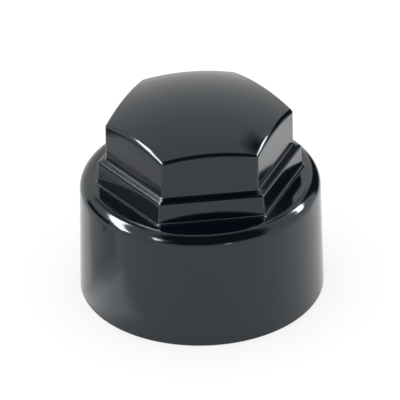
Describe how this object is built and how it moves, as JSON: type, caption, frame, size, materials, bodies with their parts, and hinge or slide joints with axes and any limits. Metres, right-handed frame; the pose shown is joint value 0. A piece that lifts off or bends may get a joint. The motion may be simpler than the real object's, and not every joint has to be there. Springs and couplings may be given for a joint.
{
  "type": "wheel nut cover cap",
  "caption": "Push-on cover cap for a wheel nut: round skirt with a flat shoulder, stepped hexagonal crown with a domed end, hexagonal socket inside.",
  "frame": {"origin": "centre of the skirt's rim, in the plane that the rim stands on", "axes": "+Z along the cap's axis, from the open rim to the domed end; +X through two opposite corners of the hexagons"},
  "size_m": [0.03, 0.03, 0.0258],
  "materials": {
    "cap_plastic": "polished black moulding, clean and unworn"
  },
  "bodies": {
    "root": {"cover_cap": "cap_plastic"}
  },
  "joints": []
}
